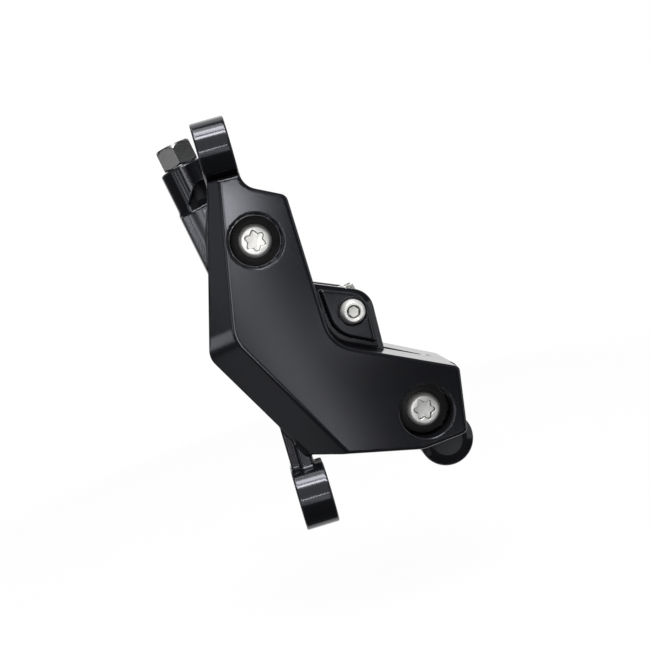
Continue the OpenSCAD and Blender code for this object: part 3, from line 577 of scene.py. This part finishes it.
def hexagon(apothem, turn=0.0):
    """Radius at each angle of a regular hexagon, one of whose sides faces the angle turn."""
    side = math.pi / 3
    a = (ANGLES - turn + side / 2) % side - side / 2
    return apothem / np.cos(a)


def six_lobe(r, turn):
    """Radius at each angle of a six-lobe recess."""
    return r - 0.3 + 0.3 * np.cos(6 * (ANGLES - turn))


def turned_piece(name, rings, place, node, materials, coloured=None, closed=False, sharp=28):
    """A solid of rings, which ends in a point on the axis at each end, or closes on itself.

    The bands between rings have the first material, apart from those that coloured gives another one, by the
    number of a band's first ring.
    """
    verts, faces, rows, marks = [], [], [], []
    for r, h in rings:
        if np.ndim(r) == 0 and r == 0:
            rows.append([len(verts)])
            verts.append(place(0.0, 0.0, h))
            continue
        r = np.broadcast_to(r, ANGLES.shape)
        rows.append(list(range(len(verts), len(verts) + STEPS)))
        verts.extend(place(a, b, h) for a, b in zip(r * np.cos(ANGLES), r * np.sin(ANGLES)))
    pairs = list(zip(rows, rows[1:])) + ([(rows[-1], rows[0])] if closed else [])
    for k, (a, b) in enumerate(pairs):
        for i in range(STEPS):
            j = (i + 1) % STEPS
            if len(a) == 1:
                faces.append((a[0], b[j], b[i]))
            elif len(b) == 1:
                faces.append((a[i], a[j], b[0]))
            else:
                faces.append((a[i], a[j], b[j], b[i]))
        marks += [(coloured or {}).get(k, 0)] * STEPS
    mesh = bpy.data.meshes.new(name)
    mesh.from_pydata((np.asarray(verts) * MM).tolist(), [], faces)
    bm = bmesh.new()
    bm.from_mesh(mesh)
    bmesh.ops.recalc_face_normals(bm, faces=bm.faces)
    bm.to_mesh(mesh)
    bm.free()
    mesh.polygons.foreach_set("use_smooth", [True] * len(mesh.polygons))
    mesh.set_sharp_from_angle(angle=math.radians(sharp))
    for material in materials:
        mesh.materials.append(material)
    mesh.polygons.foreach_set("material_index", marks)
    return add_piece(name, mesh, node)


def on_body(x, y, z):
    """Places a turned piece whose axis is the disc's and whose heights run outboard from y."""
    def place(a, b, h):
        return to_row(np.array([x + a, y - h, z + b]))
    return place


def on_inlet(a, b, h):
    """Places a turned piece on the inlet's axis, with its heights from the mouth outwards."""
    return np.array([INLET[0] + a * IC - h * IS, INLET[1] + b, INLET[2] + a * IS + h * IC])


def body_bolt(name, z, node, turn):
    """A body bolt with a black flange, a domed bright head and a six-lobe recess."""
    shank = [(0, -BOLT_L), (2.5, -BOLT_L), (BOLT_R, 0.5 - BOLT_L), (BOLT_R, -0.02)]
    flange = [(5.05, 0.02), (5.25, 0.15), (5.25, 1.0), (5.2, 1.14), (5.05, 1.22), (3.7, 1.5)]
    dome = [(3.58, 1.62), (3.54, 1.9), (3.52, 2.6), (3.47, 2.9), (3.39, 3.2), (3.27, 3.47), (3.12, 3.7),
            (2.98, 3.86), (2.82, 3.97), (2.7, BOLT_HEAD)]
    star = six_lobe(STAR_R, turn)
    recess = [(star + 0.1, 0), (star + 0.03, 0.04), (star, 0.12), (star - 0.16, 0.95), (star - 0.2, 1.0),
              (0, 1.05)]
    rings = shank + flange + dome
    coloured = {k: 1 for k in range(len(shank), len(shank) + len(flange))}
    # The recess wall band gets the painted shade material, so the shade inside the six-lobe recess is painted
    # dark
    coloured[len(rings) + 2] = 2
    rings += [(r, BOLT_HEAD - depth) for r, depth in recess]
    return turned_piece(name, rings, on_body(0, -BOLT_SEAT, z), node,
                        [metal["satin_steel"], metal["black_steel"], metal["painted_shade_socket_walls"]], coloured)


def pad_pin():
    """The pad pin, with the groove for its clip and a domed head with a hexagon socket."""
    tip, groove, pocket = -PIN_SEAT - PIN_END, -PIN_SEAT - PIN_GROOVE, POCKET_Y - PIN_SEAT
    groove_end = groove - CLIP_T - 0.04
    shank = [(0, tip), (PIN_NECK_R, tip), (PIN_R, tip + 0.5), (PIN_R, groove_end), (PIN_NECK_R, groove_end),
             (PIN_NECK_R, groove), (PIN_R, groove), (PIN_R, pocket),
             (PIN_SHOULDER_R, pocket), (PIN_SHOULDER_R, 0)]
    dome = [(2.5, 0.02), (2.58, 0.1), (2.58, 1.7), (2.56, 2.0), (2.5, 2.35), (2.41, 2.68), (2.3, 2.98),
            (2.19, 3.2), (2.09, 3.34), (2.0, PIN_HEAD)]
    side = hexagon(SOCKET_R, 0.2)
    recess = [(1.54, 0), (1.48, 0.06), (1.4, 0.55), (side, 0.75), (side * 0.97, 1.2), (0, 1.25)]
    rings = shank + dome
    # The socket wall bands get the painted shade material, so the shade inside the hexagon socket is painted
    # dark
    coloured = {len(rings) + 2: 1, len(rings) + 3: 1}
    rings += [(r, PIN_HEAD - depth) for r, depth in recess]
    return turned_piece("pad_pin_turned", rings, on_body(PIN_X, -PIN_SEAT, PIN_Z), "pad_pin",
                        [metal["satin_steel"], metal["painted_shade_socket_walls"]], coloured)


def hose_nut():
    """The hose nut, a thread and a hexagon whose corners are turned off at both ends."""
    full = hexagon(NUT_AF / 2)
    low_slope, top_slope = 1.7, 0.9
    rings = [(NUT_THREAD_R, -NUT_THREAD_L), (NUT_THREAD_R, NUT_SEAT - 0.02)]
    for rise in np.linspace(0, NUT_LOW, 7):
        rings.append((np.minimum(full, NUT_AF / 2 - 0.05 + rise * low_slope), NUT_SEAT + rise))
    for drop in np.linspace(NUT_TOP, 0, 12):
        rings.append((np.minimum(full, NUT_AF / 2 - 0.2 + drop * top_slope), NUT_H - drop))
    rings += [(HOSE_R + 0.25, NUT_H), (HOSE_R, NUT_H - 0.25), (HOSE_R, -NUT_THREAD_L)]
    return turned_piece("hose_nut_turned", rings, on_inlet, "hose_nut", [metal["grey_nut"]],
                        closed=True, sharp=20)


def pad_spring():
    """The solid pad spring's own sheet with its rims bevelled."""
    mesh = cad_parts["pad_spring"].data.copy()
    bm = bmesh.new()
    bm.from_mesh(mesh)
    bmesh.ops.remove_doubles(bm, verts=bm.verts, dist=1e-6)
    bmesh.ops.dissolve_limit(bm, angle_limit=math.radians(1), verts=bm.verts, edges=bm.edges)
    rims = [e for e in bm.edges if len(e.link_faces) == 2 and e.calc_face_angle(0) > math.radians(50)]
    bmesh.ops.bevel(bm, geom=rims, offset=0.06 * MM, segments=2, affect="EDGES", profile=0.5)
    bm.to_mesh(mesh)
    bm.free()
    sheet = bpy.data.objects.new("pad_spring_sheet", mesh)
    bpy.context.scene.collection.objects.link(sheet)
    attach(sheet, "housing")
    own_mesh(sheet)
    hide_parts("pad_spring")


body_bolt("upper_body_bolt_head", BOLT_Z, "upper_body_bolt", 0.0)
body_bolt("lower_body_bolt_head", -BOLT_Z, "lower_body_bolt", 0.3)
pad_pin()
hose_nut()
pad_spring()


# Floor, light and camera
def math_node(nodes, links, operation, first, second):
    node = nodes.new("ShaderNodeMath")
    node.operation = operation
    links.new(first, node.inputs[0])
    links.new(second, node.inputs[1])
    return node.outputs[0]


def seen_rays(nodes, links):
    """1 for camera rays, mirrored rays and rays through glass, and 0 for those that only carry light."""
    path = nodes.new("ShaderNodeLightPath")
    total = path.outputs["Is Camera Ray"]
    for name in ("Is Glossy Ray", "Is Transmission Ray"):
        total = math_node(nodes, links, "MAXIMUM", total, path.outputs[name])
    return total


def smooth(nodes, links, value, start, end, low, high):
    """A value that goes softly from low to high as another goes from start to end."""
    fade = nodes.new("ShaderNodeMapRange")
    fade.interpolation_type = "SMOOTHSTEP"
    for name, level in (("From Min", start), ("From Max", end), ("To Min", low), ("To Max", high)):
        fade.inputs[name].default_value = level
    links.new(value, fade.inputs["Value"])
    return fade.outputs["Result"]


def mixed(nodes, links, share, first, second, target):
    """Gives a shader input a mix of two shaders."""
    mix = nodes.new("ShaderNodeMixShader")
    links.new(share, mix.inputs["Fac"])
    links.new(first, mix.inputs[1])
    links.new(second, mix.inputs[2])
    links.new(mix.outputs[0], target)


def paper(name, glow, fade_from, fade_to):
    """White paper, which also glows for what looks at it, and more so towards its edge."""
    m, nodes, links, bsdf = new_material(name)
    bsdf.inputs["Base Color"].default_value = (0.9, 0.9, 0.9, 1)
    bsdf.inputs["Roughness"].default_value = 0.9
    bsdf.inputs["Specular IOR Level"].default_value = 0.1
    light = nodes.new("ShaderNodeEmission")
    light.inputs["Strength"].default_value = 1.0
    coord = nodes.new("ShaderNodeTexCoord")
    far = nodes.new("ShaderNodeVectorMath")
    far.operation = "LENGTH"
    links.new(coord.outputs["Object"], far.inputs[0])
    level = smooth(nodes, links, far.outputs["Value"], fade_from, fade_to, glow, 1.0)
    share = math_node(nodes, links, "MULTIPLY", seen_rays(nodes, links), level)
    mixed(nodes, links, share, bsdf.outputs[0], light.outputs[0], nodes["Material Output"].inputs["Surface"])
    return m


def add_floor():
    """A disc of paper below the part, in metres."""
    radius, corners = 0.2, 96
    angles = np.arange(corners) * 2 * math.pi / corners
    ring = [(radius * math.cos(a), radius * math.sin(a), 0) for a in angles]
    mesh = bpy.data.meshes.new("floor")
    mesh.from_pydata(ring, [], [tuple(range(corners))])
    mesh.materials.append(paper("floor_paper", 0.955, 0.14, 0.19))
    floor = bpy.data.objects.new("floor", mesh)
    floor.location = (0.015, 0.205, -0.075)
    bpy.context.scene.collection.objects.link(floor)


def background(nodes, colour, strength):
    node = nodes.new("ShaderNodeBackground")
    node.inputs["Color"].default_value = (*colour, 1)
    node.inputs["Strength"].default_value = strength
    return node.outputs[0]


def add_room():
    """A dim bluish room, white to the camera and to mirrored rays that run on away from the camera."""
    world = bpy.data.worlds.new("studio")
    world.use_nodes = True
    nodes, links = world.node_tree.nodes, world.node_tree.links
    coord = nodes.new("ShaderNodeTexCoord")
    split = nodes.new("ShaderNodeSeparateXYZ")
    links.new(coord.outputs["Generated"], split.inputs[0])
    behind = smooth(nodes, links, split.outputs["Y"], 0.7, 0.97, 0.0, 1.0)
    mirrored = math_node(nodes, links, "MULTIPLY", seen_rays(nodes, links), behind)
    path = nodes.new("ShaderNodeLightPath")
    white = math_node(nodes, links, "MAXIMUM", path.outputs["Is Camera Ray"], mirrored)
    mixed(nodes, links, white, background(nodes, (0.92, 0.95, 1.0), 0.1), background(nodes, (1, 1, 1), 1.0),
          nodes["World Output"].inputs["Surface"])
    bpy.context.scene.world = world


add_floor()
add_room()
scene = bpy.context.scene
scene.view_settings.view_transform = "Standard"

# The camera's right, up and back axes and its eye, fitted to the ears in the photograph
RIGHT = Vector((0.95823, -0.07855, -0.27498))
UP = Vector((0.28057, 0.07217, 0.95711))
BACKWARD = Vector((-0.05533, -0.99430, 0.09119))
EYE = Vector((1.62, -248.65, 18.96)) * MM
MIDDLE = Vector((14, 10, -3)) * MM

# Place from the part's middle along the camera's right, up and back axes, width and height, radiance, and
# turn, in metres and degrees
LAMPS = {
    "face_strip": ((0.069, -0.115, 0.600), (0.030, 0.188), 3.2, 31),
    "face_top": ((0.021, -0.006, 0.600), (0.032, 0.032), 23, 31),
    "face_end": ((0.085, -0.195, 0.600), (0.040, 0.040), 1.3, 0),
    "front_panel": ((-0.058, 0.225, 0.553), (0.319, 0.390), 0.85, 0),
    "edge_strip": ((-0.156, 0.448, 0.368), (0.407, 0.068), 25, 0),
    "edge_soft": ((-0.150, 0.530, 0.235), (0.326, 0.120), 14, 0),
    "top_panel": ((-0.157, 0.564, 0.132), (0.711, 0.126), 3.6, 0),
    "back_panel": ((-0.151, 0.482, -0.323), (0.333, 0.402), 1.1, 0),
    "bolt_panel": ((-0.072, -0.090, 0.600), (0.084, 0.300), 5.2, 0),
    "crease_panel": ((-0.260, -0.094, 0.533), (0.083, 0.147), 2, 0),
    "pin_panel": ((0.114, -0.086, 0.600), (0.032, 0.032), 2.6, 0),
    "left_low": ((-0.230, -0.401, 0.382), (0.078, 0.212), 0.5, 0),
    "boss_panel": ((-0.365, -0.195, 0.435), (0.095, 0.120), 3.2, 0),
    "left_panel": ((-0.385, -0.031, 0.459), (0.084, 0.147), 0.75, 0),
    "side_panel": ((-0.461, -0.225, 0.311), (0.117, 0.212), 1.1, 0),
    "low_right": ((0.205, -0.195, 0.600), (0.040, 0.030), 2.2, 0),
    "right_panel": ((0.585, 0.084, 0.103), (0.433, 0.437), 0.9, 0),
}


def put_in_scene(thing, right, up, back, at):
    """Places a lamp or a camera, which looks against back."""
    thing.matrix_world = Matrix([*zip(right, up, back, at), (0, 0, 0, 1)])
    scene.collection.objects.link(thing)


def add_lamp(name, offset, size, radiance, turn):
    """A flat lamp that faces the part's middle."""
    data = bpy.data.lights.new(name, "AREA")
    data.shape = "RECTANGLE"
    data.size, data.size_y = size
    data.energy = radiance * math.pi * size[0] * size[1]
    at = MIDDLE + RIGHT * offset[0] + UP * offset[1] + BACKWARD * offset[2]
    back = (at - MIDDLE).normalized()
    side = UP.cross(back).normalized()
    up = back.cross(side)
    c, s = math.cos(math.radians(turn)), math.sin(math.radians(turn))
    put_in_scene(bpy.data.objects.new(name, data), side * c + up * s, up * c - side * s, back, at)


for lamp, values in LAMPS.items():
    add_lamp(lamp, *values)

lens = bpy.data.cameras.new("camera")
lens.sensor_width, lens.lens = 36, 66.46
lens.clip_start, lens.clip_end = 0.01, 20
camera = bpy.data.objects.new("camera", lens)
put_in_scene(camera, RIGHT, UP, BACKWARD, EYE)
scene.camera = camera
